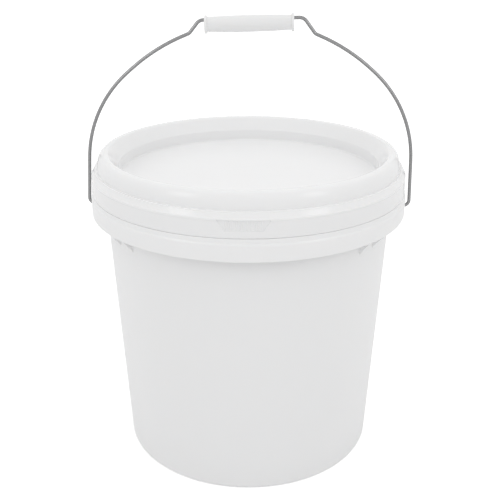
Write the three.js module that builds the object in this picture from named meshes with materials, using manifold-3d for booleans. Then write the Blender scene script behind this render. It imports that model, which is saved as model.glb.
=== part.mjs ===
// Round plastic pail with a snap-fit lid, a wire bail and a loose tube grip, in millimetres.
// The origin is the centre of the base on the plane that the pail stands on. +Z is up,
// the bail's pivots lie along X and the lid's ribbed tab faces -Y.

import * as THREE from 'three';
import * as BufferGeometryUtils from 'three/addons/utils/BufferGeometryUtils.js';
import Module from 'manifold-3d';

const wasm = await Module();
wasm.setup();

// Pail: wall and base
const baseRadius = 111.2;
const draftAngle = 3.0;
const pailWall = 1.6;
const floorThickness = 2.0;
const floorLift = 1.6;
const baseCornerRadius = 3.0;
const insideCornerRadius = 5.0;
const footRingWidth = 6.0;

// Pail: rim, and the collar round the neck, measured down from the rim and out from the wall
const rimCentreHeight = 256.8;
const lipHeight = 3.2;
const lipWall = 1.6;
const lipCurlStart = 62.0;
const collarReach = 11.65;
const collarWall = 1.6;
const collarHeight = 13.6;
const collarEdgeRadius = 1.0;
const shoulderRise = 4.6;
const shoulderSetback = 0.8;
const shoulderToSkirtGap = 0.4;

// Pail: gussets under the collar and the ears that carry the bail
const gussetPitch = 9.3;
const gussetsPerQuarter = 5;
const firstGussetAngle = 5.2;
const gussetThickness = 1.8;
const gussetDrop = 13.7;
const earWidth = 16.0;
const earThickness = 3.8;
const earProud = 0.4;
const pivotDrop = 13.8;

// Lid: dished panel and hollow rim
const lidWall = 1.8;
const domeReach = 8.35;
const domeRise = 12.55;
const dishEdgeInset = 8.65;
const dishEdgeDrop = 5.05;
const dishSlopeRun = 4.8;
const dishSlopeDrop = 6.7;
const dishWallRun = 0.6;
const dishWallDrop = 9.0;
const rimClearance = 0.35;
const sealFinThickness = 1.4;
const sealFinDepth = 10.0;

// Lid: bead, skirt and tab
const beadReach = 3.9;
const beadDrop = 0.5;
const beadHeight = 5.7;
const skirtSetback = 0.6;
const skirtTaper = 0.5;
const skirtDrop = 13.8;
const skirtWall = 1.6;
const snapHeight = 1.6;
const snapBite = 0.7;
const tabTopWidth = 37.0;
const tabBottomWidth = 27.0;
const tabHeight = 8.3;
const tabDepth = 0.6;
const tabRibCount = 11;
const tabRibWidth = 0.9;
const tabRibHeight = 0.35;

// Bail: one bent wire
const wireDiameter = 2.8;
const wireSides = 10;
const pivotClearance = 0.35;
const beadToWireClearance = 1.15;
const legSplay = 1.45;
const bailLean = 1.2;
const shoulder = { inset: 2.0, rise: 86.0, radius: 105.0 };
const crown = { half: 79.0, rise: 135.0, radius: 160.0 };
const kink = { half: 51.4, rise: 146.2, radius: 5.0 };
const crankSlope = 52.0;
const crankRise = { left: 10.5, right: 12.9 };
const crankRadius = 7.0;
const hookRadius = 4.2;
const heelRadius = 5.0;
const hookTipLength = 8.0;
const hookToEarClearance = 3.2;

// Grip: tube that hangs loose on the wire
const gripLength = 72.6;
const gripEndRadius = 6.0;
const gripMiddleRadius = 6.4;
const gripBoreRadius = 4.6;
const flangeRadius = 7.3;
const flangeWidth = 2.2;
const gripHangClearance = 0.3;
const gripShift = -1.1;

// Facets round the pail, round the grip and round a hole
const roundSegments = 64;
const gripSegments = 24;
const holeSegments = 24;

const radians = THREE.MathUtils.degToRad;
const draft = Math.tan(radians(draftAngle));
const wireRadius = wireDiameter / 2;

// Outer radius of the pail's tapered wall at a height
function wallRadius(height) {
  return baseRadius + height * draft;
}

// Heights down from the rim: the lid's bead and skirt, then the collar under the skirt's edge
const beadTop = rimCentreHeight - beadDrop;
const beadBottom = beadTop - beadHeight;
const skirtEdgeHeight = beadBottom - skirtDrop;
const shoulderTop = skirtEdgeHeight - shoulderToSkirtGap;
const collarTop = shoulderTop - shoulderRise;
const collarBottom = collarTop - collarHeight;
const pivotHeight = collarTop - pivotDrop;
const crestHeight = rimCentreHeight + domeRise;
const dishEdgeHeight = crestHeight - dishEdgeDrop;
const dishCreaseHeight = dishEdgeHeight - dishSlopeDrop;
const panelHeight = dishCreaseHeight - dishWallDrop;

// Radii out from the wall: the rim and the lid's dome over it, the bead, the skirt, the collar
const crestRadius = wallRadius(rimCentreHeight);
const domeFootRadius = crestRadius + domeReach;
const dishEdgeRadius = crestRadius - dishEdgeInset;
const dishCreaseRadius = dishEdgeRadius - dishSlopeRun;
const panelRadius = dishCreaseRadius - dishWallRun;
const beadRadius = domeFootRadius + beadReach;
const skirtTopRadius = beadRadius - skirtSetback;
const skirtEdgeRadius = skirtTopRadius - skirtTaper;
const collarRadius = wallRadius(collarTop) + collarReach;
const shoulderRadius = collarRadius - shoulderSetback;

// Points on part of an ellipse in the plane of radius and height, angles in degrees
function arc(centreRadius, centreHeight, radiusAxis, heightAxis, from, to, steps) {
  const points = [];
  for (let i = 0; i <= steps; i += 1) {
    const angle = radians(from + ((to - from) * i) / steps);
    const r = centreRadius + radiusAxis * Math.cos(angle);
    const z = centreHeight + heightAxis * Math.sin(angle);
    points.push([r, z]);
  }
  return points;
}

// Closed solid from a geometry: corners are merged and empty triangles are dropped
function solid(geometry) {
  const bare = geometry.clone();
  bare.deleteAttribute('normal');
  bare.deleteAttribute('uv');
  const merged = BufferGeometryUtils.mergeVertices(bare, 1e-4);
  const index = merged.index.array;
  const kept = [];
  for (let i = 0; i < index.length; i += 3) {
    const [a, b, c] = [index[i], index[i + 1], index[i + 2]];
    if (a !== b && b !== c && c !== a) {
      kept.push(a, b, c);
    }
  }
  return new wasm.Manifold(new wasm.Mesh({
    numProp: 3,
    vertProperties: new Float32Array(merged.attributes.position.array),
    triVerts: new Uint32Array(kept),
  }));
}

// Solid of revolution about Z; the profile runs anticlockwise, radius to the right and height up
function revolve(profile, segments) {
  const points = profile.map(([r, z]) => new THREE.Vector2(r, z));
  const geometry = new THREE.LatheGeometry(points, segments);
  geometry.rotateX(Math.PI / 2);
  return solid(geometry);
}

// Ring of revolution whose profile closes on itself
function revolveRing(profile, segments) {
  return revolve([...profile, profile[0]], segments);
}

// Flat plate: an outline in X and Y, extruded along Z about its middle
function plate(outline, thickness) {
  const shape = new THREE.Shape(outline.map(([x, y]) => new THREE.Vector2(x, y)));
  const geometry = new THREE.ExtrudeGeometry(shape, { depth: thickness, bevelEnabled: false, steps: 1 });
  geometry.translate(0, 0, -thickness / 2);
  return geometry;
}

function meshOf(name, manifold, material) {
  const data = manifold.getMesh();
  const geometry = new THREE.BufferGeometry();
  geometry.setAttribute('position', new THREE.BufferAttribute(new Float32Array(data.vertProperties), 3));
  geometry.setIndex(new THREE.BufferAttribute(new Uint32Array(data.triVerts), 1));
  geometry.computeVertexNormals();
  const mesh = new THREE.Mesh(geometry, material);
  mesh.name = name;
  return mesh;
}

// Rim of the pail: an inverted U that fills the lid's hollow rim with a small clearance
const rimOuterReach = domeReach - lidWall - rimClearance;
const rimOuterRise = domeRise - lidWall - rimClearance;
const lipBottom = rimCentreHeight - lipHeight;
const rimTop = rimCentreHeight + rimOuterRise;

function pailProfile() {
  const footOuter = wallRadius(baseCornerRadius) - baseCornerRadius;
  const footInner = footOuter - footRingWidth;
  const floorTop = floorLift + floorThickness;
  const collarInner = collarRadius - collarWall;
  const webBottom = shoulderTop - collarWall;
  const lipInnerReach = rimOuterReach - lipWall;
  const lipInnerRise = rimOuterRise - lipWall;
  const curlEnd = rimTop - lipWall - 2.0;
  const innerWall = (height) => wallRadius(height) - pailWall;
  const insideShoulder = rimCentreHeight + rimOuterRise / 2;
  return [
    [0, floorLift],
    [footInner - floorLift, floorLift],
    [footInner, 0],
    ...arc(footOuter, baseCornerRadius, baseCornerRadius, baseCornerRadius, -90, 0, 4),
    [wallRadius(webBottom), webBottom],
    [shoulderRadius - collarWall, webBottom],
    [collarInner, collarTop - collarWall / 2],
    [collarInner, collarBottom],
    [collarRadius - collarEdgeRadius / 2, collarBottom],
    [collarRadius, collarBottom + collarEdgeRadius / 2],
    [collarRadius, collarTop - collarEdgeRadius / 2],
    [shoulderRadius, collarTop + collarEdgeRadius / 2],
    [shoulderRadius, shoulderTop - collarEdgeRadius / 2],
    [shoulderRadius - collarEdgeRadius / 2, shoulderTop],
    [wallRadius(shoulderTop), shoulderTop],
    [wallRadius(curlEnd), curlEnd],
    ...arc(crestRadius, rimCentreHeight, lipInnerReach, lipInnerRise, lipCurlStart, 0, 4),
    [crestRadius + lipInnerReach, lipBottom],
    [crestRadius + rimOuterReach, lipBottom],
    ...arc(crestRadius, rimCentreHeight, rimOuterReach, rimOuterRise, 0, 90, 7),
    [innerWall(insideShoulder) + 0.6, rimTop - 1.6],
    [innerWall(insideShoulder), insideShoulder],
    [innerWall(floorTop + insideCornerRadius), floorTop + insideCornerRadius],
    ...arc(
      innerWall(floorTop + insideCornerRadius) - insideCornerRadius,
      floorTop + insideCornerRadius,
      insideCornerRadius, insideCornerRadius, 0, -90, 4,
    ).slice(1),
    [0, floorTop],
  ];
}

// Upright gusset in a radial plane, from the wall to the collar, cut back at 45 degrees or so below it
function gusset(angle) {
  const top = shoulderTop - collarWall / 2;
  const foot = collarBottom - gussetDrop;
  const outline = [
    [wallRadius(foot) - pailWall / 2, foot],
    [wallRadius(foot), foot],
    [collarRadius - collarWall, collarBottom],
    [collarRadius - collarWall / 2, collarBottom + collarEdgeRadius],
    [collarRadius - collarWall / 2, collarTop - collarWall / 2],
    [shoulderRadius - collarWall / 2, top],
    [wallRadius(top) - pailWall / 2, top],
  ];
  const geometry = plate(outline, gussetThickness);
  geometry.rotateX(Math.PI / 2);
  geometry.rotateZ(radians(angle));
  return solid(geometry);
}

// Ear: a flat tongue that hangs from the collar, with the hole that the hooked wire turns in
const earOuter = collarRadius + earProud;
const earInner = earOuter - earThickness;

function ear(side) {
  const half = earWidth / 2;
  const outline = [[-half, collarTop - collarEdgeRadius]];
  for (let i = 0; i <= 12; i += 1) {
    const angle = Math.PI + (Math.PI * i) / 12;
    outline.push([half * Math.cos(angle), pivotHeight + half * Math.sin(angle)]);
  }
  outline.push([half, collarTop - collarEdgeRadius]);
  const geometry = plate(outline, earThickness);
  geometry.rotateX(Math.PI / 2);
  geometry.rotateZ(Math.PI / 2);
  geometry.translate(side * (earOuter + earInner) / 2, 0, 0);
  return solid(geometry);
}

function pivotHole(side) {
  const radius = (wireRadius + pivotClearance) / Math.cos(Math.PI / holeSegments);
  const geometry = new THREE.CylinderGeometry(radius, radius, earThickness * 3, holeSegments);
  geometry.rotateZ(Math.PI / 2);
  geometry.translate(side * (earOuter + earInner) / 2, 0, pivotHeight);
  return solid(geometry);
}

function makePail() {
  let body = revolve(pailProfile(), roundSegments);
  for (const side of [0, 180]) {
    for (const turn of [-1, 1]) {
      for (let i = 0; i < gussetsPerQuarter; i += 1) {
        body = body.add(gusset(side + turn * (firstGussetAngle + i * gussetPitch)));
      }
    }
  }
  for (const side of [-1, 1]) {
    body = body.add(ear(side)).subtract(pivotHole(side));
  }
  return body;
}

// The snap ring inside the lid's skirt reaches in under the pail's lip
const snapTop = lipBottom - rimClearance;
const snapRadius = crestRadius + rimOuterReach - snapBite;

function skirtRadius(height) {
  const share = (height - skirtEdgeHeight) / (beadBottom - skirtEdgeHeight);
  return skirtEdgeRadius + (skirtTopRadius - skirtEdgeRadius) * share;
}

function lidProfile() {
  const innerReach = domeFootRadius - crestRadius - lidWall;
  const innerRise = crestHeight - rimCentreHeight - lidWall;
  const finOuter = wallRadius(rimCentreHeight) - pailWall - rimClearance;
  const finInner = finOuter - sealFinThickness;
  const finTop = crestHeight - lidWall - 1.2;
  const finBottom = finTop - sealFinDepth;
  const slope = Math.atan2(dishSlopeDrop, dishSlopeRun);
  const panelBottom = panelHeight - lidWall;
  const snapBottom = snapTop - snapHeight;
  const innerSkirt = (height) => skirtRadius(height) - skirtWall;
  return [
    [0, panelBottom],
    [panelRadius + lidWall, panelBottom],
    [dishCreaseRadius + lidWall, dishCreaseHeight - lidWall / 3],
    [dishEdgeRadius + lidWall * Math.sin(slope), dishEdgeHeight - lidWall * Math.cos(slope)],
    [finInner - 0.6, finTop],
    [finInner, finBottom],
    [finOuter - 0.3, finBottom],
    [finOuter, finTop],
    ...arc(crestRadius, rimCentreHeight, innerReach, innerRise, 90, 0, 7),
    [domeFootRadius - lidWall, snapTop],
    [snapRadius, snapTop - snapHeight / 3],
    [snapRadius, snapTop - snapHeight],
    [innerSkirt(snapBottom), snapBottom - snapHeight],
    [innerSkirt(skirtEdgeHeight), skirtEdgeHeight],
    [skirtEdgeRadius - 0.3, skirtEdgeHeight],
    [skirtEdgeRadius, skirtEdgeHeight + 0.3],
    [skirtTopRadius, beadBottom - 0.3],
    [beadRadius, beadBottom + 0.3],
    [beadRadius, beadTop - 0.6],
    [beadRadius - 0.6, beadTop],
    [domeFootRadius + 0.4, beadTop - 0.3],
    ...arc(crestRadius, rimCentreHeight, domeFootRadius - crestRadius, crestHeight - rimCentreHeight, 0, 90, 9),
    [(crestRadius * 2 + dishEdgeRadius) / 3, crestHeight - 0.7],
    [(crestRadius + dishEdgeRadius * 3) / 4, dishEdgeHeight + 2.4],
    [dishEdgeRadius, dishEdgeHeight],
    [dishCreaseRadius, dishCreaseHeight],
    [panelRadius, panelHeight + 1.6],
    [panelRadius - 0.5, panelHeight + 0.4],
    [panelRadius - 1.6, panelHeight],
    [0, panelHeight],
  ];
}

// Tab: a shallow trapezoid pocket in the skirt at -Y, with plain upright ribs on its floor
function makeTabPocket() {
  const top = beadBottom - 0.3;
  const bottom = top - tabHeight;
  const outline = [
    [-tabBottomWidth / 2, bottom],
    [tabBottomWidth / 2, bottom],
    [tabTopWidth / 2, top],
    [-tabTopWidth / 2, top],
  ];
  const reach = beadRadius;
  const geometry = plate(outline, reach);
  geometry.rotateX(Math.PI / 2);
  geometry.translate(0, -reach, 0);
  const ring = revolveRing([
    [skirtRadius(bottom) - tabDepth, bottom - 1],
    [beadRadius + 1, bottom - 1],
    [beadRadius + 1, top + 1],
    [skirtRadius(top) - tabDepth, top + 1],
  ], roundSegments);
  return ring.intersect(solid(geometry));
}

function tabRib(offset) {
  const top = beadBottom - 1.0;
  const bottom = top - tabHeight + 1.5;
  const reach = skirtRadius(bottom) - tabDepth + tabRibHeight;
  const geometry = new THREE.BoxGeometry(tabRibWidth, skirtWall / 2, top - bottom);
  geometry.translate(0, -reach + skirtWall / 4, (top + bottom) / 2);
  geometry.rotateZ(Math.asin(offset / reach));
  return solid(geometry);
}

function makeLid() {
  let lid = revolve(lidProfile(), roundSegments);
  lid = lid.subtract(makeTabPocket());
  const span = tabBottomWidth - 2 * tabRibWidth;
  for (let i = 0; i < tabRibCount; i += 1) {
    const offset = -span / 2 + (span * i) / (tabRibCount - 1);
    lid = lid.add(tabRib(offset));
  }
  return lid;
}

// Bail path in the plane of X and Z: corners with bend radii, as a wire bender reads them
const legHalf = beadRadius + wireRadius + beadToWireClearance;
const heelHalf = legHalf + legSplay;
const hookHalf = earInner - hookToEarClearance - wireRadius;
const shoulderHalf = legHalf - shoulder.inset;

function leaned(side, half, rise) {
  return [side * half + rise * Math.tan(radians(bailLean)), pivotHeight + rise];
}

function crankCorner(side, rise) {
  const run = rise / Math.tan(radians(crankSlope));
  return leaned(side, kink.half - run, kink.rise + rise);
}

function bailSide(side, rise) {
  return [
    { at: [side * hookHalf, pivotHeight + hookTipLength], radius: 0 },
    { at: [side * hookHalf, pivotHeight], radius: hookRadius },
    { at: [side * heelHalf, pivotHeight], radius: heelRadius },
    { at: leaned(side, shoulderHalf, shoulder.rise), radius: shoulder.radius },
    { at: leaned(side, crown.half, crown.rise), radius: crown.radius },
    { at: leaned(side, kink.half, kink.rise), radius: kink.radius },
    { at: crankCorner(side, rise), radius: crankRadius },
  ];
}

// Turn of the path at an inner corner, and the length that its bend takes of each run
function bendAt(corners, i) {
  if (i < 1 || i > corners.length - 2) {
    return { turn: 0, tangent: 0 };
  }
  const here = new THREE.Vector2(...corners[i].at);
  const back = new THREE.Vector2(...corners[i - 1].at).sub(here).normalize();
  const ahead = new THREE.Vector2(...corners[i + 1].at).sub(here).normalize();
  const turn = Math.PI - Math.acos(THREE.MathUtils.clamp(back.dot(ahead), -1, 1));
  return { turn, tangent: corners[i].radius * Math.tan(turn / 2) };
}

// Points along straight runs and round bends; two bends that are too long for their run share it
function bentPath(corners) {
  const points = [new THREE.Vector3(corners[0].at[0], 0, corners[0].at[1])];
  const bends = corners.map((corner, i) => bendAt(corners, i));
  for (let i = 1; i < corners.length - 1; i += 1) {
    const here = new THREE.Vector2(...corners[i].at);
    const back = new THREE.Vector2(...corners[i - 1].at).sub(here);
    const ahead = new THREE.Vector2(...corners[i + 1].at).sub(here);
    const { turn, tangent: wanted } = bends[i];
    const backRoom = (back.length() * 0.96 * wanted) / (wanted + bends[i - 1].tangent);
    const aheadRoom = (ahead.length() * 0.96 * wanted) / (wanted + bends[i + 1].tangent);
    back.normalize();
    ahead.normalize();
    const tangent = Math.min(wanted, backRoom, aheadRoom);
    const radius = tangent / Math.tan(turn / 2);
    const middle = back.clone().add(ahead).normalize();
    const centre = here.clone().addScaledVector(middle, radius / Math.cos(turn / 2));
    const start = here.clone().addScaledVector(back, tangent).sub(centre);
    const sign = Math.sign(back.x * ahead.y - back.y * ahead.x);
    const steps = Math.max(3, Math.ceil((turn * (radius > 20 ? 24 : 9)) / Math.PI));
    for (let k = 0; k <= steps; k += 1) {
      const spoke = start.clone().rotateAround(new THREE.Vector2(0, 0), (-sign * turn * k) / steps);
      points.push(new THREE.Vector3(centre.x + spoke.x, 0, centre.y + spoke.y));
    }
  }
  const last = corners[corners.length - 1].at;
  points.push(new THREE.Vector3(last[0], 0, last[1]));
  return points;
}

// Curve through given points that is sampled at those points, so that tight bends keep their facets
class WirePath extends THREE.Curve {
  constructor(points) {
    super();
    this.points = points;
  }

  getPoint(t, target = new THREE.Vector3()) {
    const position = THREE.MathUtils.clamp(t, 0, 1) * (this.points.length - 1);
    const i = Math.min(Math.floor(position), this.points.length - 2);
    return target.lerpVectors(this.points[i], this.points[i + 1], position - i);
  }

  getPointAt(t, target) {
    return this.getPoint(t, target);
  }

  getTangentAt(t, target) {
    return this.getTangent(t, target);
  }
}

const leftCrank = crankCorner(-1, crankRise.left);
const rightCrank = crankCorner(1, crankRise.right);

function makeBail() {
  const corners = [
    ...bailSide(-1, crankRise.left),
    ...bailSide(1, crankRise.right).reverse(),
  ];
  const path = new WirePath(bentPath(corners));
  const outline = [];
  for (let i = 0; i < wireSides; i += 1) {
    const angle = (2 * Math.PI * (i + 0.5)) / wireSides;
    outline.push(new THREE.Vector2(wireRadius * Math.cos(angle), wireRadius * Math.sin(angle)));
  }
  const geometry = new THREE.ExtrudeGeometry(new THREE.Shape(outline), {
    steps: path.points.length - 1,
    bevelEnabled: false,
    extrudePath: path,
  });
  return solid(geometry);
}

// Grip: barrelled tube with a flange at each end, hanging on the wire's straight run
function gripProfile() {
  const half = gripLength / 2;
  const barrel = [];
  const rows = 6;
  for (let i = 0; i <= rows; i += 1) {
    const along = -1 + (2 * i) / rows;
    const swell = (gripMiddleRadius - gripEndRadius) * (1 - along * along);
    barrel.push([gripEndRadius + swell, along * (half - flangeWidth)]);
  }
  return [
    [gripBoreRadius, -half],
    [flangeRadius - 0.4, -half],
    [flangeRadius, -half + 0.4],
    [flangeRadius, -half + flangeWidth - 0.5],
    ...barrel,
    [flangeRadius, half - flangeWidth + 0.5],
    [flangeRadius, half - 0.4],
    [flangeRadius - 0.4, half],
    [gripBoreRadius, half],
  ];
}

const pailPlastic = new THREE.MeshStandardMaterial({ color: 0xe6e7e8, roughness: 0.38, metalness: 0 });
const lidPlastic = new THREE.MeshStandardMaterial({ color: 0xeaebec, roughness: 0.3, metalness: 0 });
const gripPlastic = new THREE.MeshStandardMaterial({ color: 0xe8e8e8, roughness: 0.42, metalness: 0 });
const steelWire = new THREE.MeshStandardMaterial({ color: 0x8d8f92, roughness: 0.28, metalness: 1 });

const bucket = new THREE.Group();
bucket.add(meshOf('pail', makePail(), pailPlastic));
bucket.add(meshOf('lid', makeLid(), lidPlastic));
bucket.add(meshOf('bail_wire', makeBail(), steelWire));

// The grip's axis lies below the wire by what its bore is wider than the wire
const straightTilt = Math.atan2(rightCrank[1] - leftCrank[1], rightCrank[0] - leftCrank[0]);
const gripDrop = gripBoreRadius - wireRadius - gripHangClearance;
const gripSeat = new THREE.Group();
gripSeat.position.set((leftCrank[0] + rightCrank[0]) / 2, 0, (leftCrank[1] + rightCrank[1]) / 2);
gripSeat.rotation.y = -straightTilt;
const grip = meshOf('grip', revolveRing(gripProfile(), gripSegments), gripPlastic);
grip.rotation.y = Math.PI / 2;
grip.position.set(gripShift, 0, -gripDrop);
gripSeat.add(grip);
bucket.add(gripSeat);

export default bucket;
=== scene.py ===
# %% [markdown]
# Plastic bucket with a snap-fit lid, a wire bail and a tube grip.
# The bucket is four pieces: a moulded pail, a moulded lid, one bent steel wire and a loose
# plastic tube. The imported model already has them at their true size. This lesson models each
# one again with rounder edges and finer facets, in the same place, and gives them their finish.

import math

import bmesh
import bpy
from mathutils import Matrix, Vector


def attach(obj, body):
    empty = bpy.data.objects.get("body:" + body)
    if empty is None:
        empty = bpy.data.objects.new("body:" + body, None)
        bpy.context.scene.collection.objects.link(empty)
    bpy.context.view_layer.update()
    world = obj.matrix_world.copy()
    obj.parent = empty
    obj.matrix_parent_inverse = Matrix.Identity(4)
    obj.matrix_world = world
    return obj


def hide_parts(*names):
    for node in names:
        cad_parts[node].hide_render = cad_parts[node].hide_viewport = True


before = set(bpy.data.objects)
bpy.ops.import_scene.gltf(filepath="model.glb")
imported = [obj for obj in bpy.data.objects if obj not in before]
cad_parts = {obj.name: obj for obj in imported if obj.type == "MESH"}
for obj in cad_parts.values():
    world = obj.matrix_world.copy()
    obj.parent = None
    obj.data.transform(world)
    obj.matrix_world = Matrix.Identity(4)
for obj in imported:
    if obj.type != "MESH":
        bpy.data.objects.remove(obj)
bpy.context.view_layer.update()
print("nodes:", sorted(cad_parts))

# %% [markdown]
# The camera comes first, because everything is judged through it. The photograph looks down
# on the pail by about 22 degrees from a short distance. The pail is turned a degree and a half
# towards its left, so the camera steps the same angle to the right instead of turning the pail.
# A small sideways shift of the lens takes up that the pail isn't quite centred in the picture.

# %% Camera at the photograph's angle
MM = 0.001
CAMERA_DISTANCE = 685.4 * MM
CAMERA_HEIGHT = 448.7 * MM
CAMERA_TURN = math.radians(1.5)
CAMERA_PITCH = math.radians(21.80)
CAMERA_ANGLE = math.radians(33.88)
CAMERA_SHIFT = 0.0031

bpy.ops.object.camera_add(
    location=(
        CAMERA_DISTANCE * math.sin(CAMERA_TURN),
        -CAMERA_DISTANCE * math.cos(CAMERA_TURN),
        CAMERA_HEIGHT,
    ),
    rotation=(math.radians(90) - CAMERA_PITCH, 0, CAMERA_TURN),
)
camera = bpy.context.object
camera.name = "photo_camera"
camera.data.sensor_fit = "HORIZONTAL"
camera.data.angle = CAMERA_ANGLE
camera.data.shift_x = CAMERA_SHIFT
bpy.context.scene.camera = camera
print("camera at", [round(value, 4) for value in camera.location])

# %% [markdown]
# Most of this object is round, so most of it is drawn as an outline and then spun. A moulded
# edge is never sharp: each corner of an outline below has its own radius, in millimetres.
# The helper walks round the corners and puts a short arc in place of each one.

# %% Outlines with rounded corners
ARC_STEP = math.radians(15)


def rounded(corners, closed=False):
    """Points of an outline; a corner is (radius, height) or (radius, height, fillet)."""
    points = []
    count = len(corners)
    for i, corner in enumerate(corners):
        here = Vector(corner[:2])
        fillet = corner[2] if len(corner) > 2 else 0
        if fillet == 0 or (not closed and i in (0, count - 1)):
            points.append(tuple(here))
            continue
        back = Vector(corners[i - 1][:2]) - here
        ahead = Vector(corners[(i + 1) % count][:2]) - here
        room = 0.49 * min(back.length, ahead.length)
        back.normalize()
        ahead.normalize()
        turn = math.pi - back.angle(ahead)
        tangent = min(fillet * math.tan(turn / 2), room)
        radius = tangent / math.tan(turn / 2)
        middle = (back + ahead).normalized()
        centre = here + middle * (radius / math.cos(turn / 2))
        start = here + back * tangent - centre
        start_angle = math.atan2(start.y, start.x)
        sweep = math.copysign(turn, ahead.x * back.y - ahead.y * back.x)
        steps = max(2, math.ceil(turn / ARC_STEP))
        for k in range(steps + 1):
            angle = start_angle + sweep * k / steps
            points.append((
                centre.x + radius * math.cos(angle),
                centre.y + radius * math.sin(angle),
            ))
    return points


def ellipse_arc(centre, reach, rise, start, end, steps):
    """Points on part of an upright ellipse, angles in degrees from the outward side."""
    points = []
    for k in range(steps + 1):
        angle = math.radians(start + (end - start) * k / steps)
        points.append((centre[0] + reach * math.cos(angle), centre[1] + rise * math.sin(angle)))
    return points


print("a 10 mm square with 2 mm corners has",
      len(rounded([(0, 0, 2), (10, 0, 2), (10, 10, 2), (0, 10, 2)], closed=True)), "points")

# %% [markdown]
# To draw an outline by hand, one starts with a single vertex and extrudes it from corner to
# corner. A tiny plane merged at its centre gives that first vertex. Spin then turns the line
# round the upright axis. The vertices on the axis fall on each other and are merged, and the
# normals are made to point outwards only after that, when the shell is closed.

# %% Draw an outline and spin it
MERGE_DISTANCE = 0.002 * MM


def select_nothing():
    """Leave edit mode and deselect every object."""
    if bpy.context.object and bpy.context.object.mode != "OBJECT":
        bpy.ops.object.mode_set(mode="OBJECT")
    bpy.ops.object.select_all(action="DESELECT")


def make_active(piece):
    """Select one piece alone, for the operators that follow."""
    select_nothing()
    piece.select_set(True)
    bpy.context.view_layer.objects.active = piece


def name_piece(name):
    """Name the piece that was just made, and its mesh."""
    piece = bpy.context.object
    piece.name = name
    piece.data.name = name
    return piece


def draw_outline(name, points):
    """A line of vertices in the plane of X and Z, left in edit mode."""
    select_nothing()
    bpy.ops.mesh.primitive_plane_add(size=MM)
    piece = name_piece(name)
    bpy.ops.object.mode_set(mode="EDIT")
    bpy.ops.mesh.select_mode(type="VERT")
    bpy.ops.mesh.select_all(action="SELECT")
    bpy.ops.mesh.merge(type="CENTER")
    bpy.ops.transform.translate(value=(points[0][0] * MM, 0, points[0][1] * MM))
    for (r0, z0), (r1, z1) in zip(points, points[1:]):
        bpy.ops.mesh.extrude_region_move(
            TRANSFORM_OT_translate={"value": ((r1 - r0) * MM, 0, (z1 - z0) * MM)}
        )
    return piece


def close_shell():
    """Merge what coincides and turn the normals outwards."""
    bpy.ops.mesh.select_all(action="SELECT")
    bpy.ops.mesh.remove_doubles(threshold=MERGE_DISTANCE)
    bpy.ops.mesh.normals_make_consistent(inside=False)
    bpy.ops.object.mode_set(mode="OBJECT")


def spin_outline(name, points, steps):
    """A closed round shell from an outline that starts and ends on the axis, or on itself."""
    piece = draw_outline(name, points)
    bpy.ops.mesh.select_all(action="SELECT")
    bpy.ops.mesh.spin(steps=steps, angle=math.tau, center=(0, 0, 0), axis=(0, 0, 1))
    close_shell()
    return piece


def triangles(piece):
    """How many triangles the mesh of a piece has."""
    piece.data.calc_loop_triangles()
    return len(piece.data.loop_triangles)


# %% [markdown]
# The pail is one moulding. Its wall leans out by 3 degrees, the draft that lets it leave the
# mould and nest in another pail. A ring under the base carries it. Near the top a collar hangs
# from a narrow web like a second short wall, with a small step on its outside just below the
# lid's edge, and above it the rim curls over into an upside-down U, which the lid snaps on.
# All of that is one outline, so one spin makes it.

# %% Pail: the round shell
DRAFT = math.tan(math.radians(3.0))
BASE_RADIUS = 111.2
PAIL_WALL = 1.6
COLLAR_WALL = 1.6
COLLAR_BOTTOM = 218.2
COLLAR_TOP = 231.8
SHOULDER_TOP = 236.4
RIM_HEIGHT = 256.8
RIM_INSET = 2.2
RIM_REACH = 4.25
RIM_RISE = 10.4
LIP_BOTTOM = 253.6
ROUND_STEPS = 192


def wall_radius(height):
    """Outer radius of the tapered wall, in millimetres."""
    return BASE_RADIUS + height * DRAFT


FLOOR_LIFT = 1.6
FLOOR_TOP = 3.6
FOOT_INNER = 102.36
WEB_BOTTOM = SHOULDER_TOP - COLLAR_WALL
COLLAR_RADIUS = wall_radius(COLLAR_TOP) + 11.65
COLLAR_INNER = COLLAR_RADIUS - COLLAR_WALL
SHOULDER_RADIUS = COLLAR_RADIUS - 0.8
RIM_CENTRE = (wall_radius(RIM_HEIGHT) - RIM_INSET, RIM_HEIGHT)
RIM_TOP = RIM_CENTRE[1] + RIM_RISE
CURL_END = RIM_TOP - 3.6
MOUTH_CORNER = RIM_CENTRE[1] + RIM_RISE / 2
MOUTH_RADIUS = wall_radius(MOUTH_CORNER) - RIM_INSET - PAIL_WALL

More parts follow.
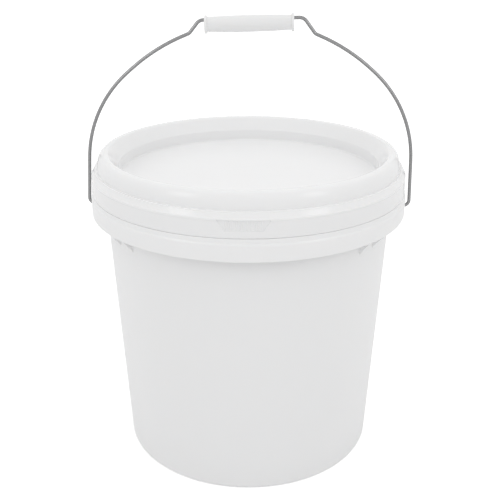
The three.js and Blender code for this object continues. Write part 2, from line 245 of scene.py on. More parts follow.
pail_outline = rounded([
    (0, FLOOR_LIFT),
    (FOOT_INNER - FLOOR_LIFT, FLOOR_LIFT, 1.0),
    (FOOT_INNER, 0, 0.8),
    (wall_radius(0) - 0.02, 0, 3.0),
    (wall_radius(WEB_BOTTOM), WEB_BOTTOM, 0.8),
    (SHOULDER_RADIUS - COLLAR_WALL, WEB_BOTTOM, 0.6),
    (COLLAR_INNER, COLLAR_TOP - COLLAR_WALL / 2, 1.0),
    (COLLAR_INNER, COLLAR_BOTTOM, 0.35),
    (COLLAR_RADIUS, COLLAR_BOTTOM, 0.7),
    (COLLAR_RADIUS, COLLAR_TOP - 0.4, 1.2),
    (SHOULDER_RADIUS, COLLAR_TOP + 1.0, 0.6),
    (SHOULDER_RADIUS, SHOULDER_TOP, 0.45),
    (wall_radius(SHOULDER_TOP), SHOULDER_TOP, 0.8),
    (wall_radius(CURL_END) - RIM_INSET, CURL_END, 0.6),
    *ellipse_arc(RIM_CENTRE, RIM_REACH - PAIL_WALL, RIM_RISE - PAIL_WALL, 62, 0, 8),
    (RIM_CENTRE[0] + RIM_REACH - PAIL_WALL, LIP_BOTTOM, 0.4),
    (RIM_CENTRE[0] + RIM_REACH, LIP_BOTTOM, 0.4),
    *ellipse_arc(RIM_CENTRE, RIM_REACH, RIM_RISE, 0, 90, 14),
    (MOUTH_RADIUS + 0.6, RIM_TOP - 1.6, 2.0),
    (MOUTH_RADIUS, MOUTH_CORNER, 3.0),
    (wall_radius(SHOULDER_TOP) - PAIL_WALL, SHOULDER_TOP, 5.0),
    (wall_radius(FLOOR_TOP) - PAIL_WALL, FLOOR_TOP, 5.0),
    (0, FLOOR_TOP),
])
pail = spin_outline("pail_shell", pail_outline, ROUND_STEPS)
print("pail shell:", len(pail_outline), "outline points,", triangles(pail), "triangles")

# %% [markdown]
# Under the collar, on both sides of each ear, stand five thin gussets. They stiffen the collar
# where the bail pulls on it, and their undersides run down to the wall at about 50 degrees.
# One gusset is a cube that two bisect cuts trim to the slope of the wall and the slope of the
# underside. The cut faces are filled, and the edges are bevelled a little.

# %% Pail: one gusset from a cube
GUSSET_THICKNESS = 1.8
GUSSET_FOOT = COLLAR_BOTTOM - 13.7
GUSSET_TOP = SHOULDER_TOP - COLLAR_WALL / 2
GUSSET_INNER = wall_radius(GUSSET_FOOT) - PAIL_WALL / 2
GUSSET_OUTER = SHOULDER_RADIUS - 0.3


def cube_between(name, low, high):
    """A cube drawn to a box given by two corners in millimetres, left in edit mode."""
    select_nothing()
    middle = [(a + b) / 2 * MM for a, b in zip(low, high)]
    bpy.ops.mesh.primitive_cube_add(size=1, location=(0, 0, 0))
    piece = name_piece(name)
    bpy.ops.object.mode_set(mode="EDIT")
    bpy.ops.mesh.select_all(action="SELECT")
    bpy.ops.transform.resize(value=[(b - a) * MM for a, b in zip(low, high)])
    bpy.ops.transform.translate(value=middle)
    return piece


def cut_away(point, normal):
    """Cut the edited mesh, drop the side that the normal points to, and fill the cut."""
    bpy.ops.mesh.select_all(action="SELECT")
    bpy.ops.mesh.bisect(
        plane_co=[value * MM for value in point], plane_no=Vector(normal).normalized(),
        use_fill=True, clear_outer=True,
    )


def bevel_edges(width, segments=2, limit=40):
    """Bevel every edge sharper than the limit with a modifier, and apply it."""
    bpy.ops.object.mode_set(mode="OBJECT")
    bpy.ops.object.modifier_add(type="BEVEL")
    bevel = bpy.context.object.modifiers[-1]
    bevel.width = width * MM
    bevel.segments = segments
    bevel.limit_method = "ANGLE"
    bevel.angle_limit = math.radians(limit)
    bpy.ops.object.modifier_apply(modifier=bevel.name)


gusset = cube_between(
    "gusset",
    (GUSSET_INNER, -GUSSET_THICKNESS / 2, GUSSET_FOOT),
    (GUSSET_OUTER, GUSSET_THICKNESS / 2, GUSSET_TOP),
)
cut_away((GUSSET_INNER, 0, GUSSET_FOOT), (-1, 0, DRAFT))
slope_start = Vector((wall_radius(GUSSET_FOOT), 0, GUSSET_FOOT))
slope_end = Vector((COLLAR_INNER, 0, COLLAR_BOTTOM + 0.3))
slope = slope_end - slope_start
cut_away(slope_start, (slope.z, 0, -slope.x))
bevel_edges(0.2)
print("one gusset:", triangles(gusset), "triangles")

# %% [markdown]
# The finished gusset is then copied and turned about the pail's axis, to five places at even
# steps on each side of each ear. A copy has its own mesh and its turn is applied, so all of
# them can be joined and united with the pail in one boolean.

# %% Pail: ten gussets at each ear
FIRST_GUSSET = 5.2
GUSSET_PITCH = 9.3
GUSSETS_PER_SIDE = 5


def turned_copy(piece, degrees):
    """A copy with its own mesh, turned about the upright axis, its turn applied."""
    make_active(piece)
    bpy.ops.object.duplicate(linked=False)
    copy = bpy.context.object
    copy.rotation_euler = (0, 0, math.radians(degrees))
    bpy.ops.object.transform_apply(location=False, rotation=True, scale=False)
    return copy


def join_all(pieces, name):
    """Join pieces into one, and name it."""
    select_nothing()
    for piece in pieces:
        piece.select_set(True)
    bpy.context.view_layer.objects.active = pieces[0]
    bpy.ops.object.join()
    return name_piece(name)


def combine(piece, tool, operation):
    """Apply a boolean with another object, which is used up."""
    make_active(piece)
    bpy.ops.object.modifier_add(type="BOOLEAN")
    boolean = piece.modifiers[-1]
    boolean.operation = operation
    boolean.solver = "EXACT"
    boolean.object = tool
    bpy.ops.object.modifier_apply(modifier=boolean.name)
    bpy.data.objects.remove(tool)


gusset_turns = [
    side + way * (FIRST_GUSSET + k * GUSSET_PITCH)
    for side in (0, 180) for way in (-1, 1) for k in range(GUSSETS_PER_SIDE)
]
gussets = [turned_copy(gusset, turn) for turn in gusset_turns]
bpy.data.objects.remove(gusset)
print("gussets:", len(gussets))

# %% [markdown]
# Each ear is a flat tongue that hangs inside the collar, with a round hole for the wire. It
# starts as a short cylinder that lies on its side. The upper half of its edge is flattened and
# pulled up to the collar, which leaves the round lower end of a tongue. The hole is a boolean
# cut, because it has to stay a true round bore.

# %% Pail: the ears and their holes
PIVOT_HEIGHT = 218.0
EAR_HALF_WIDTH = 8.0
EAR_OUTER = COLLAR_RADIUS + 0.4
EAR_THICKNESS = 3.8
EAR_MIDDLE = EAR_OUTER - EAR_THICKNESS / 2
HOLE_RADIUS = 1.75


def side_cylinder(name, radius, length, middle, vertices):
    """A cylinder that lies along X at the height of the pivots."""
    select_nothing()
    bpy.ops.mesh.primitive_cylinder_add(
        vertices=vertices, radius=radius * MM, depth=length * MM,
        location=(middle * MM, 0, PIVOT_HEIGHT * MM), rotation=(0, math.radians(90), 0),
    )
    piece = name_piece(name)
    bpy.ops.object.transform_apply(location=True, rotation=True, scale=True)
    return piece


def pick(piece, chosen, kind="VERT"):
    """Select by a test, in edit mode, and return how many were selected."""
    bpy.ops.mesh.select_mode(type=kind)
    bpy.ops.mesh.select_all(action="DESELECT")
    mesh = bmesh.from_edit_mesh(piece.data)
    items = {"VERT": mesh.verts, "EDGE": mesh.edges, "FACE": mesh.faces}[kind]
    found = [item for item in items if chosen(item)]
    for item in found:
        item.select_set(True)
    bmesh.update_edit_mesh(piece.data)
    return len(found)


def make_ear(side):
    """One ear, from a cylinder whose upper half is pulled up to the collar."""
    ear = side_cylinder("ear", EAR_HALF_WIDTH, EAR_THICKNESS, side * EAR_MIDDLE, 48)
    bpy.ops.object.mode_set(mode="EDIT")
    upper = pick(ear, lambda vertex: vertex.co.z > PIVOT_HEIGHT * MM + 1e-6)
    top = (COLLAR_TOP - 1.0) * MM
    centre = (side * EAR_MIDDLE * MM, 0, top)
    bpy.ops.transform.resize(value=(1, 1, 0), center_override=centre)
    print("ear: moved", upper, "vertices up to the collar")
    bevel_edges(0.35, segments=3, limit=50)
    return ear


ears = [make_ear(side) for side in (-1, 1)]
ribs = join_all(gussets + ears, "collar_ribs")
combine(pail, ribs, "UNION")
for side in (-1, 1):
    bore = side_cylinder("bore", HOLE_RADIUS, EAR_THICKNESS * 3, side * EAR_MIDDLE, 40)
    combine(pail, bore, "DIFFERENCE")
print("pail with gussets and ears:", triangles(pail), "triangles")

# %% [markdown]
# The lid is one moulding too. From the middle outwards its outline runs along the flat panel,
# up a short upright wall and a slope, over the hollow rim, down to a narrow bead with a fine
# line along each of its edges, and down the skirt. Underneath are the seal fin, which presses
# inside the pail's mouth, and the snap ring, which catches under the pail's lip. The rim's
# radii follow from the pail's, so the two fit. Again one outline and one spin make all of it.

# %% Lid: the round shell
LID_WALL = 1.8
CREST_RADIUS = RIM_CENTRE[0]
CREST_HEIGHT = 269.35
DISH_EDGE = (CREST_RADIUS - 6.45, CREST_HEIGHT - 5.05)
DISH_CREASE = (DISH_EDGE[0] - 4.8, DISH_EDGE[1] - 6.7)
PANEL_RADIUS = DISH_CREASE[0] - 0.6
PANEL_HEIGHT = DISH_CREASE[1] - 9.0
DOME_FOOT_RADIUS = CREST_RADIUS + 6.4
DOME_FOOT_HEIGHT = RIM_HEIGHT
BEAD_INNER = DOME_FOOT_RADIUS + 1.7
BEAD_RADIUS = DOME_FOOT_RADIUS + 4.9
BEAD_TOP = 256.3
BEAD_EDGE = 251.4
BEAD_BOTTOM = 249.2
SKIRT_TOP_RADIUS = BEAD_RADIUS - 0.25
SKIRT_EDGE_RADIUS = BEAD_RADIUS + 0.1
SKIRT_EDGE_HEIGHT = 236.6
SKIRT_WALL = 1.6
CLEARANCE = 0.35
SNAP_TOP = LIP_BOTTOM - CLEARANCE
SNAP_RADIUS = CREST_RADIUS + RIM_REACH - 0.7
FIN_OUTER = wall_radius(DOME_FOOT_HEIGHT) - RIM_INSET - PAIL_WALL - CLEARANCE
FIN_INNER = FIN_OUTER - 1.4
FIN_TOP = CREST_HEIGHT - LID_WALL - 1.2
FIN_BOTTOM = FIN_TOP - 10.0


def skirt_radius(height):
    """Outer radius of the skirt, which widens a little towards its edge."""
    share = (height - SKIRT_EDGE_HEIGHT) / (BEAD_BOTTOM - SKIRT_EDGE_HEIGHT)
    return SKIRT_EDGE_RADIUS + (SKIRT_TOP_RADIUS - SKIRT_EDGE_RADIUS) * share


lid_outline = rounded([
    (0, PANEL_HEIGHT - LID_WALL),
    (PANEL_RADIUS + LID_WALL, PANEL_HEIGHT - LID_WALL, 2.5),
    (DISH_CREASE[0] + LID_WALL, DISH_CREASE[1] - LID_WALL / 3, 1.0),
    (DISH_EDGE[0] + 1.46, DISH_EDGE[1] - 1.05, 2.0),
    (FIN_INNER - 0.6, FIN_TOP, 0.6),
    (FIN_INNER, FIN_BOTTOM, 0.3),
    (FIN_OUTER - 0.3, FIN_BOTTOM, 0.3),
    (FIN_OUTER, FIN_TOP, 0.4),
    *ellipse_arc((CREST_RADIUS, DOME_FOOT_HEIGHT), DOME_FOOT_RADIUS - CREST_RADIUS - LID_WALL,
                 CREST_HEIGHT - DOME_FOOT_HEIGHT - LID_WALL, 90, 0, 14),
    (DOME_FOOT_RADIUS - LID_WALL, SNAP_TOP),
    (SNAP_RADIUS, SNAP_TOP - 0.55, 0.3),
    (SNAP_RADIUS, SNAP_TOP - 1.6, 0.3),
    (skirt_radius(SNAP_TOP - 3.2) - SKIRT_WALL, SNAP_TOP - 3.2, 0.6),
    (SKIRT_EDGE_RADIUS - SKIRT_WALL, SKIRT_EDGE_HEIGHT, 0.3),
    (SKIRT_EDGE_RADIUS, SKIRT_EDGE_HEIGHT, 0.2),
    (SKIRT_TOP_RADIUS, BEAD_BOTTOM, 0.6),
    (BEAD_RADIUS + 0.1, BEAD_BOTTOM + 0.7, 0.5),
    (BEAD_RADIUS + 0.1, BEAD_EDGE, 0.45),
    (BEAD_RADIUS - 0.6, BEAD_EDGE + 0.25, 0.3),
    (BEAD_INNER + 0.75, BEAD_TOP - 0.9, 0.3),
    (BEAD_INNER + 0.7, BEAD_TOP, 0.45),
    (DOME_FOOT_RADIUS + 0.15, BEAD_TOP - 0.2, 0.5),
    *ellipse_arc((CREST_RADIUS, DOME_FOOT_HEIGHT), DOME_FOOT_RADIUS - CREST_RADIUS,
                 CREST_HEIGHT - DOME_FOOT_HEIGHT, 0, 90, 20),
    (DISH_EDGE[0] + 3.4, CREST_HEIGHT, 8.0),
    (DISH_EDGE[0], DISH_EDGE[1], 2.0),
    (*DISH_CREASE, 0.8),
    (PANEL_RADIUS, PANEL_HEIGHT, 1.6),
    (0, PANEL_HEIGHT),
])
lid = spin_outline("lid_cap", lid_outline, ROUND_STEPS)
print("lid shell:", len(lid_outline), "outline points,", triangles(lid), "triangles")

# %% [markdown]
# On the front of the skirt is the tear tab's place: a shallow pocket, wide at the top and
# narrow at the bottom, with fine upright ribs on its floor for a thumb. The cutter for the
# pocket follows the round skirt, so it is a short spun bar whose ends are bisected at a slant.

# %% Lid: the pocket of the tab
TAB_TOP_WIDTH = 39.6
TAB_BOTTOM_WIDTH = 28.4
TAB_HEIGHT = 8.3
TAB_DEPTH = 0.42
TAB_TOP = 250.3
TAB_BOTTOM = TAB_TOP - TAB_HEIGHT
CUTTER_SPAN = math.radians(22)


def front_bar(name, corners, span, steps):
    """A closed bar with the given section, spun across the front of the skirt."""
    piece = draw_outline(name, corners)
    bpy.ops.mesh.select_all(action="SELECT")
    bpy.ops.mesh.edge_face_add()
    start = -math.pi / 2 - span / 2
    bpy.ops.object.mode_set(mode="OBJECT")
    piece.rotation_euler = (0, 0, start)
    bpy.ops.object.transform_apply(location=False, rotation=True, scale=False)
    bpy.ops.object.mode_set(mode="EDIT")
    bpy.ops.mesh.select_all(action="SELECT")
    bpy.ops.mesh.spin(steps=steps, angle=span, center=(0, 0, 0), axis=(0, 0, -1))
    return piece


cutter = front_bar("tab_cutter", [
    (skirt_radius(TAB_BOTTOM) - TAB_DEPTH, TAB_BOTTOM),
    (BEAD_RADIUS + 1, TAB_BOTTOM),
    (BEAD_RADIUS + 1, TAB_TOP),
    (skirt_radius(TAB_TOP) - TAB_DEPTH, TAB_TOP),
], CUTTER_SPAN, 24)
slant = (TAB_TOP_WIDTH - TAB_BOTTOM_WIDTH) / 2
for side in (-1, 1):
    cut_away((side * TAB_BOTTOM_WIDTH / 2, 0, TAB_BOTTOM), (side, 0, -slant / TAB_HEIGHT))
close_shell()
combine(lid, cutter, "DIFFERENCE")
print("lid with the pocket:", triangles(lid), "triangles")

# %% [markdown]
# The ribs are copies of one small bevelled bar, which reaches back into the skirt's wall. They
# end just below the skirt's surface, so that a thumb feels them and nothing catches on them.

# %% Lid: the ribs of the tab
TAB_RIBS = 11
RIB_WIDTH = 0.9
RIB_HEIGHT = 0.36
RIB_LENGTH = 6.8
rib_top = TAB_TOP - 0.7
rib_bottom = rib_top - RIB_LENGTH
rib_reach = skirt_radius(rib_bottom) - TAB_DEPTH + RIB_HEIGHT
rib = cube_between(
    "rib",
    (-RIB_WIDTH / 2, -rib_reach, rib_bottom),
    (RIB_WIDTH / 2, -rib_reach + SKIRT_WALL / 2, rib_top),
)
bevel_edges(0.2, segments=2)
rib_span = TAB_BOTTOM_WIDTH - 2 * RIB_WIDTH
rib_offsets = [-rib_span / 2 + rib_span * k / (TAB_RIBS - 1) for k in range(TAB_RIBS)]
tab_ribs = [
    turned_copy(rib, math.degrees(math.asin(offset / rib_reach))) for offset in rib_offsets
]
bpy.data.objects.remove(rib)
combine(lid, join_all(tab_ribs, "tab_ribs"), "UNION")
print("lid with", TAB_RIBS, "ribs:", triangles(lid), "triangles")

# %% [markdown]
# The bail is one steel wire. A wire bender reads it as straight runs and bends: the hooked
# end, the heel below the ear, a long flat arc up each side, a kink, and a crank up to the
# straight run that carries the grip. It is written down the same way: each corner has a place
# and the radius of its bend. Where two bends would meet on a run, both get a smaller radius.

# %% Bail: the list of bends
WIRE_RADIUS = 1.4
WIRE_SIDES = 24
BAIL_LEAN = math.tan(math.radians(1.2))
HEEL_HALF = 140.3
HOOK_HALF = EAR_OUTER - EAR_THICKNESS - 3.2 - WIRE_RADIUS
KINK = (51.4, 146.2)
CRANK_SLOPE = math.tan(math.radians(52))
CRANK_RISE = {-1: 10.5, 1: 12.9}
SHOULDER = (136.0, 86.0)
CROWN = (79.0, 135.0)
HOOK_RISE = 8.0
HOOK_BEND = 4.2
HEEL_BEND = 5.0
SHOULDER_BEND = 105.0
CROWN_BEND = 160.0
KINK_BEND = 5.0
CRANK_BEND = 7.0
RUN_SHARE = 0.96


def leaned(side, half, rise):
    """A point of the bail, which leans a little to +X as it rises."""
    return Vector((side * half + rise * BAIL_LEAN, PIVOT_HEIGHT + rise))


def crank_corner(side):
    """The corner between a crank and the straight run of the grip."""
    rise = CRANK_RISE[side]
    return leaned(side, KINK[0] - rise / CRANK_SLOPE, KINK[1] + rise)


def bail_side(side):
    """Corners of one half of the bail, with the radius of each bend."""
    return [
        (Vector((side * HOOK_HALF, PIVOT_HEIGHT + HOOK_RISE)), 0),
        (Vector((side * HOOK_HALF, PIVOT_HEIGHT)), HOOK_BEND),
        (Vector((side * HEEL_HALF, PIVOT_HEIGHT)), HEEL_BEND),
        (leaned(side, *SHOULDER), SHOULDER_BEND),
        (leaned(side, *CROWN), CROWN_BEND),
        (leaned(side, *KINK), KINK_BEND),
        (crank_corner(side), CRANK_BEND),
    ]


corners = bail_side(-1) + bail_side(1)[::-1]


def bend_at(i):
    """Turn at an inner corner, and the length that its bend takes of each run."""
    if i < 1 or i > len(corners) - 2:
        return 0, 0
    back = corners[i - 1][0] - corners[i][0]
    ahead = corners[i + 1][0] - corners[i][0]
    turn = math.pi - back.angle(ahead)
    return turn, corners[i][1] * math.tan(turn / 2)


bends = []
for i in range(1, len(corners) - 1):
    here = corners[i][0]
    back = corners[i - 1][0] - here
    ahead = corners[i + 1][0] - here
    turn, wanted = bend_at(i)
    room = min(
        back.length * RUN_SHARE * wanted / (wanted + bend_at(i - 1)[1]),
        ahead.length * RUN_SHARE * wanted / (wanted + bend_at(i + 1)[1]),
    )
    back.normalize()
    ahead.normalize()
    tangent = min(wanted, room)
    radius = tangent / math.tan(turn / 2)
    centre = here + (back + ahead).normalized() * (radius / math.cos(turn / 2))
    way = math.copysign(1, back.x * ahead.y - back.y * ahead.x)
    bends.append((here + back * tangent, here + ahead * tangent, centre, way * turn, radius))
print("bends of the wire:", [(round(math.degrees(bend[3])), round(bend[4])) for bend in bends])

# %% [markdown]
# The wire is then made as a bender makes it. A ring of vertices starts at one end, extrude
# makes each straight run, and spin turns the ring round each bend's centre. A tight bend gets
# coarser steps than a wide arc, which would show its facets.

# %% Bail: extrude the runs and spin the bends
TIGHT_BEND = 20
TIGHT_STEP = math.radians(6)
WIDE_STEP = math.radians(2.5)


def in_space(point):
    """A point of the bail's plane, in metres."""
    return Vector((point.x * MM, 0, point.y * MM))


select_nothing()
bpy.ops.mesh.primitive_circle_add(
    vertices=WIRE_SIDES, radius=WIRE_RADIUS * MM, fill_type="NOTHING", location=(0, 0, 0),
)
bail = name_piece("bail_rod")
bpy.ops.object.mode_set(mode="EDIT")
bpy.ops.mesh.select_mode(type="EDGE")
bpy.ops.mesh.select_all(action="SELECT")
here = corners[0][0]
bpy.ops.transform.translate(value=in_space(here))
bpy.ops.mesh.edge_face_add()
for start, end, centre, turn, radius in bends:
    bpy.ops.mesh.extrude_region_move(TRANSFORM_OT_translate={"value": in_space(start - here)})
    step = TIGHT_STEP if radius < TIGHT_BEND else WIDE_STEP
    steps = max(6, math.ceil(abs(turn) / step))
    bpy.ops.mesh.spin(
        steps=steps, angle=abs(turn), center=in_space(centre),
        axis=(0, -math.copysign(1, turn), 0),
    )
    here = end
bpy.ops.mesh.extrude_region_move(
    TRANSFORM_OT_translate={"value": in_space(corners[-1][0] - here)}
)
close_shell()
bevel_edges(0.3, segments=2, limit=60)
print("bail:", triangles(bail), "triangles")

# %% [markdown]
# The grip is a tube with a bore much wider than the wire, so it hangs on the straight run and
# turns freely. It is a little thicker in the middle than at its ends, and a narrow flange at
# each end keeps the hand off the cranks. It is spun upright and then laid on the wire's line,
# which is also the line that it turns about, lower by what its bore is wider than the wire.

# %% Grip: spin a tube and hang it on the wire
GRIP_LENGTH = 72.6
GRIP_END_RADIUS = 5.9
GRIP_MIDDLE_RADIUS = 6.7
GRIP_BORE = 5.0
FLANGE_RADIUS = 7.3
FLANGE_WIDTH = 2.2
FLANGE_EDGE = 0.6
BORE_EDGE = 0.35
BARREL_STEPS = 16
GRIP_SHIFT = -1.8
GRIP_DROP = GRIP_BORE - WIRE_RADIUS - 0.06

grip_half = GRIP_LENGTH / 2
barrel_half = grip_half - FLANGE_WIDTH
barrel = []
for k in range(BARREL_STEPS + 1):
    along = -1 + 2 * k / BARREL_STEPS
    swell = (GRIP_MIDDLE_RADIUS - GRIP_END_RADIUS) * (1 - along * along)
    barrel.append((GRIP_END_RADIUS + swell, along * barrel_half))
grip_outline = rounded([
    (GRIP_BORE, -grip_half, BORE_EDGE),
    (FLANGE_RADIUS, -grip_half, FLANGE_EDGE),
    (FLANGE_RADIUS, -barrel_half - 0.35, FLANGE_EDGE),
    *barrel,
    (FLANGE_RADIUS, barrel_half + 0.35, FLANGE_EDGE),
    (FLANGE_RADIUS, grip_half, FLANGE_EDGE),
    (GRIP_BORE, grip_half, BORE_EDGE),
], closed=True)
grip = spin_outline("grip_tube", grip_outline + grip_outline[:1], 72)

left, right = crank_corner(-1), crank_corner(1)
run = (right - left).normalized()
seat = (left + right) / 2 + run * GRIP_SHIFT + Vector((run.y, -run.x)) * GRIP_DROP
make_active(grip)
tilt = math.atan2(run.y, run.x)
grip.rotation_euler = (0, math.radians(90) - tilt, 0)
grip.location = in_space(seat)
bpy.ops.object.transform_apply(location=True, rotation=True, scale=True)
print("grip:", triangles(grip), "triangles, tilt", round(math.degrees(tilt), 2))

# %% [markdown]
# Smooth shading by angle keeps the small fillets crisp and the big round walls smooth. It is
# the last thing done to each mesh, after every boolean and bevel.

# %% Smooth shading
SMOOTH_ANGLE = math.radians(32)

for piece in (pail, lid, bail, grip):
    make_active(piece)
    bpy.ops.object.shade_smooth_by_angle(angle=SMOOTH_ANGLE)
    print(piece.name, "shaded,", triangles(piece), "triangles")

# %% [markdown]
# A moulded skin is never quite even: the surface waves a little where the plastic shrank, and
# it has a very fine grain. Both plastics and the grip use that effect, so it is one node group
# that puts out a height for a Bump node and a mask for the roughness.

# %% Finish: the moulded skin as a node group
def new_group(name, inputs, outputs):
    """An empty shader node group with number sockets."""
    group = bpy.data.node_groups.new(name, "ShaderNodeTree")
    for label, value in inputs:
        socket = group.interface.new_socket(
            name=label, in_out="INPUT", socket_type="NodeSocketFloat"
        )
        socket.default_value = value
    for label in outputs:
        group.interface.new_socket(
            name=label, in_out="OUTPUT", socket_type="NodeSocketFloat"
        )
    return group


def noise(nodes, scale, detail=3.0, roughness=0.5):
    """A noise texture; the scale is in waves per metre."""
    node = nodes.new("ShaderNodeTexNoise")
    node.inputs["Scale"].default_value = scale
    node.inputs["Detail"].default_value = detail
    node.inputs["Roughness"].default_value = roughness
    return node


def spread(nodes, links, source, low, high):
    """Map a value from 0..1 to a narrower band."""
    node = nodes.new("ShaderNodeMapRange")
    node.inputs["To Min"].default_value = low
    node.inputs["To Max"].default_value = high
    links.new(source, node.inputs["Value"])
    return node.outputs["Result"]


def math_step(nodes, links, operation, first, second):
    """A Math node for two inputs, each a socket or a number; gives its output."""
    node = nodes.new("ShaderNodeMath")
    node.operation = operation
    for socket, value in zip(node.inputs, (first, second)):
        if isinstance(value, float):
            socket.default_value = value
        else:
            links.new(value, socket)
    return node.outputs[0]


skin = new_group("moulded_skin", [("Wave", 1.0), ("Grain", 1.0), ("Gloss", 0.35)],
                 ["Height", "Roughness"])
nodes, links = skin.nodes, skin.links
group_in = nodes.new("NodeGroupInput")
group_out = nodes.new("NodeGroupOutput")
place = nodes.new("ShaderNodeTexCoord")
wave = noise(nodes, 22, detail=2)
grain = noise(nodes, 2600, detail=2)
patches = noise(nodes, 35, detail=4)
for node in (wave, grain, patches):
    links.new(place.outputs["Object"], node.inputs["Vector"])
scaled_wave = math_step(
    nodes, links, "MULTIPLY", wave.outputs["Fac"], group_in.outputs["Wave"])
scaled_grain = math_step(
    nodes, links, "MULTIPLY", grain.outputs["Fac"], group_in.outputs["Grain"])
height = math_step(nodes, links, "ADD", scaled_wave, scaled_grain)
uneven = spread(nodes, links, patches.outputs["Fac"], -0.03, 0.03)
rough = math_step(nodes, links, "ADD", uneven, group_in.outputs["Gloss"])
links.new(height, group_out.inputs["Height"])
links.new(rough, group_out.inputs["Roughness"])
print("group", skin.name, "made")

# %% [markdown]
# The plastic is natural white polypropylene: a soft gloss on top, and light that goes a little
# way in and comes out again. A little subsurface scattering gives the softness in the shadows
# between the collar and the gussets; more of it would darken the thin walls. The lid is the
# glossiest and the grip the dullest. Colours that are the same all over are set on the shader
# itself.

# %% Finish: the three plastics
PLASTIC_IOR = 1.49


def plastic(name, colour, gloss, wave_height, grain_height, depth, reach):
    """White plastic; heights and the reach of the scattering are in millimetres."""
    material = bpy.data.materials.new(name)
    material.use_nodes = True
    nodes, links = material.node_tree.nodes, material.node_tree.links
    shader = nodes["Principled BSDF"]
    shader.inputs["Base Color"].default_value = (*colour, 1)
    shader.inputs["IOR"].default_value = PLASTIC_IOR
    shader.inputs["Subsurface Weight"].default_value = depth
    shader.inputs["Subsurface Radius"].default_value = (1.0, 0.95, 0.9)
    shader.inputs["Subsurface Scale"].default_value = reach * MM
    surface = nodes.new("ShaderNodeGroup")
    surface.node_tree = skin
    surface.inputs["Wave"].default_value = wave_height
    surface.inputs["Grain"].default_value = grain_height
    surface.inputs["Gloss"].default_value = gloss
    bump = nodes.new("ShaderNodeBump")
    bump.inputs["Strength"].default_value = 1.0
    bump.inputs["Distance"].default_value = 1 * MM
    links.new(surface.outputs["Height"], bump.inputs["Height"])
    links.new(bump.outputs["Normal"], shader.inputs["Normal"])
    links.new(surface.outputs["Roughness"], shader.inputs["Roughness"])
    return material


pail_plastic = plastic("white_pail_plastic", (0.90, 0.90, 0.902), 0.30, 0.25, 0.004, 0.2, 2.0)
lid_plastic = plastic("white_lid_plastic", (0.90, 0.90, 0.902), 0.16, 0.15, 0.003, 0.2, 2.0)
grip_plastic = plastic("white_grip_plastic", (0.87, 0.87, 0.87), 0.42, 0.10, 0.010, 0.3, 2.0)
print("plastics:", pail_plastic.name, lid_plastic.name, grip_plastic.name)

# %% [markdown]
# The wire is drawn and galvanised steel. It is too thin for the lines of the drawing to show,
# but the zinc has a soft mottle, which also varies how dull it is. Metal takes its look from
# what it mirrors, here a white tent on all sides, so its colour is painted as a mottle of dark
# greys: painted shade that stands in for dark surroundings in its reflection, with a painted
# dark reflection at its edges too.

# %% Finish: galvanised wire
wire_steel = bpy.data.materials.new("galvanised_wire")
wire_steel.use_nodes = True
nodes, links = wire_steel.node_tree.nodes, wire_steel.node_tree.links
shader = nodes["Principled BSDF"]
shader.inputs["Metallic"].default_value = 1.0
# A near-black specular tint darkens the wire's edges: a painted dark reflection.
shader.inputs["Specular Tint"].default_value = (0.04, 0.04, 0.04, 1)
place = nodes.new("ShaderNodeTexCoord")
mottle = noise(nodes, 900, detail=4, roughness=0.6)
links.new(place.outputs["Object"], mottle.inputs["Vector"])
links.new(spread(nodes, links, mottle.outputs["Fac"], 0.12, 0.24), shader.inputs["Roughness"])
# Two dark greys mixed by the zinc's mottle: real mottle, and painted shade in a base colour
# darker than zinc.
mottle_and_shade_tint = nodes.new("ShaderNodeMix")
mottle_and_shade_tint.data_type = "RGBA"
mottle_and_shade_tint.inputs["A"].default_value = (0.20, 0.20, 0.203, 1)
mottle_and_shade_tint.inputs["B"].default_value = (0.42, 0.42, 0.424, 1)
links.new(mottle.outputs["Fac"], mottle_and_shade_tint.inputs["Factor"])
links.new(mottle_and_shade_tint.outputs["Result"], shader.inputs["Base Color"])
print("steel:", wire_steel.name)

# %% [markdown]
# Each new piece takes its material, rides on the body of the node that it stands for, and
# replaces that node, which stays in the motion model.

# %% Dress the pieces
dressing = [
    (pail, pail_plastic, "pail_body", "pail", "pail_plastic"),
    (lid, lid_plastic, "pail_body", "lid", "lid_plastic"),
    (bail, wire_steel, "bail", "bail_wire", "steel_wire"),
    (grip, grip_plastic, "grip", "grip", "grip_plastic"),
]
for piece, material, body, node, slot in dressing:
    piece.data.materials.clear()
    piece.data.materials.append(material)
    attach(piece, body)
    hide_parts(node)
    print(piece.name, "stands for", node, "on body", body)

# %% [markdown]
# The photograph was taken on a white ground, before a white background. The floor looks white
# to the camera but still takes the pail's shadow, because some of its light is its own and the
# rest is what falls on it. A mirroring surface sees a part of that glow too, and no other ray
# does, so the glow never lights the pail.

# %% Floor
WHITE = (1, 1, 1, 1)
FLOOR_GREY = (0.85, 0.85, 0.85, 1)
GLOW_SEEN = 0.45
GLOW_MIRRORED = 0.15
select_nothing()
bpy.ops.mesh.primitive_plane_add(size=12)
floor = name_piece("studio_floor")
floor_paint = bpy.data.materials.new("floor_paint")
floor_paint.use_nodes = True
nodes, links = floor_paint.node_tree.nodes, floor_paint.node_tree.links
nodes.clear()
output = nodes.new("ShaderNodeOutputMaterial")
matt = nodes.new("ShaderNodeBsdfDiffuse")
matt.inputs["Color"].default_value = FLOOR_GREY
glow = nodes.new("ShaderNodeEmission")
glow.inputs["Color"].default_value = WHITE
path = nodes.new("ShaderNodeLightPath")
to_camera = math_step(nodes, links, "MULTIPLY", path.outputs["Is Camera Ray"], GLOW_SEEN)
to_gloss = math_step(nodes, links, "MULTIPLY", path.outputs["Is Glossy Ray"], GLOW_MIRRORED)
level = math_step(nodes, links, "ADD", to_camera, to_gloss)
links.new(level, glow.inputs["Strength"])
both = nodes.new("ShaderNodeAddShader")
links.new(matt.outputs[0], both.inputs[0])
links.new(glow.outputs[0], both.inputs[1])
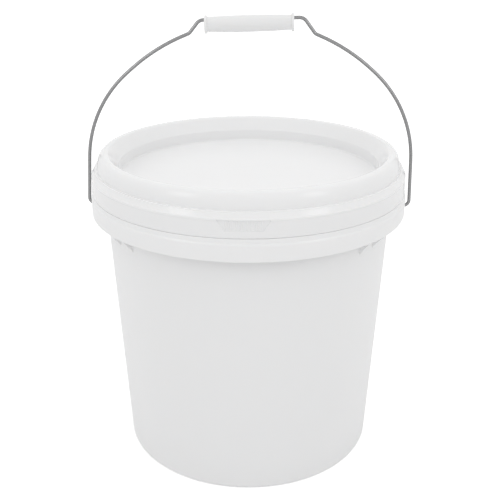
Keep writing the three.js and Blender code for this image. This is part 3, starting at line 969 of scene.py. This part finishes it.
links.new(both.outputs[0], output.inputs["Surface"])
floor.data.materials.append(floor_paint)
print("floor ready:", floor.name)

# %% [markdown]
# The world is the light tent. The camera, and what mirrors or is clear, see it plain white. It
# lights the pail a little more from overhead than from the horizon, as the tent's roof does,
# which is why the lid is brighter than the wall.

# %% World
HORIZON_LIGHT = 0.62
ZENITH_LIGHT = 1.05

world = bpy.data.worlds.new("light_tent")
bpy.context.scene.world = world
world.use_nodes = True
nodes, links = world.node_tree.nodes, world.node_tree.links
nodes.clear()
output = nodes.new("ShaderNodeOutputWorld")
sky = nodes.new("ShaderNodeBackground")
sky.inputs["Color"].default_value = WHITE
path = nodes.new("ShaderNodeLightPath")
seen = math_step(
    nodes, links, "MAXIMUM", path.outputs["Is Camera Ray"], path.outputs["Is Transmission Ray"])
shown = math_step(nodes, links, "MAXIMUM", seen, path.outputs["Is Glossy Ray"])
direction = nodes.new("ShaderNodeTexCoord")
height = nodes.new("ShaderNodeSeparateXYZ")
links.new(direction.outputs["Generated"], height.inputs["Vector"])
lit = nodes.new("ShaderNodeMapRange")
lit.inputs["To Min"].default_value = HORIZON_LIGHT
lit.inputs["To Max"].default_value = ZENITH_LIGHT
links.new(height.outputs["Z"], lit.inputs["Value"])
strength = nodes.new("ShaderNodeMix")
links.new(shown, strength.inputs["Factor"])
links.new(lit.outputs["Result"], strength.inputs["A"])
strength.inputs["B"].default_value = 1.0
links.new(strength.outputs["Result"], sky.inputs["Strength"])
links.new(sky.outputs[0], output.inputs["Surface"])
print("world ready:", world.name)

# %% [markdown]
# Two soft boxes stand at the front left and the front right. They give the lid's rim its two
# soft reflections, and the wall a slight shade towards its middle. They look at the middle of
# the pail, because a lamp shines along its own downward axis.

# %% Soft boxes
BOX_WIDTH = 0.4
BOX_HEIGHT = 0.6
BOX_POWER = 1.3
AIM_POINT = (0, 0, 0.15)


def soft_box(name, place):
    """A rectangular lamp at a place, turned to look at the pail."""
    bpy.ops.object.light_add(type="AREA", location=place)
    lamp = bpy.context.object
    lamp.name = name
    lamp.data.shape = "RECTANGLE"
    lamp.data.size = BOX_WIDTH
    lamp.data.size_y = BOX_HEIGHT
    lamp.data.energy = BOX_POWER
    aim = Vector(AIM_POINT) - Vector(place)
    lamp.rotation_euler = aim.to_track_quat("-Z", "Y").to_euler()
    return lamp


select_nothing()
soft_box("box_left", (-1.0, -0.93, 0.90))
soft_box("box_right", (1.06, -0.86, 0.90))
bpy.context.scene.view_settings.view_transform = "Standard"
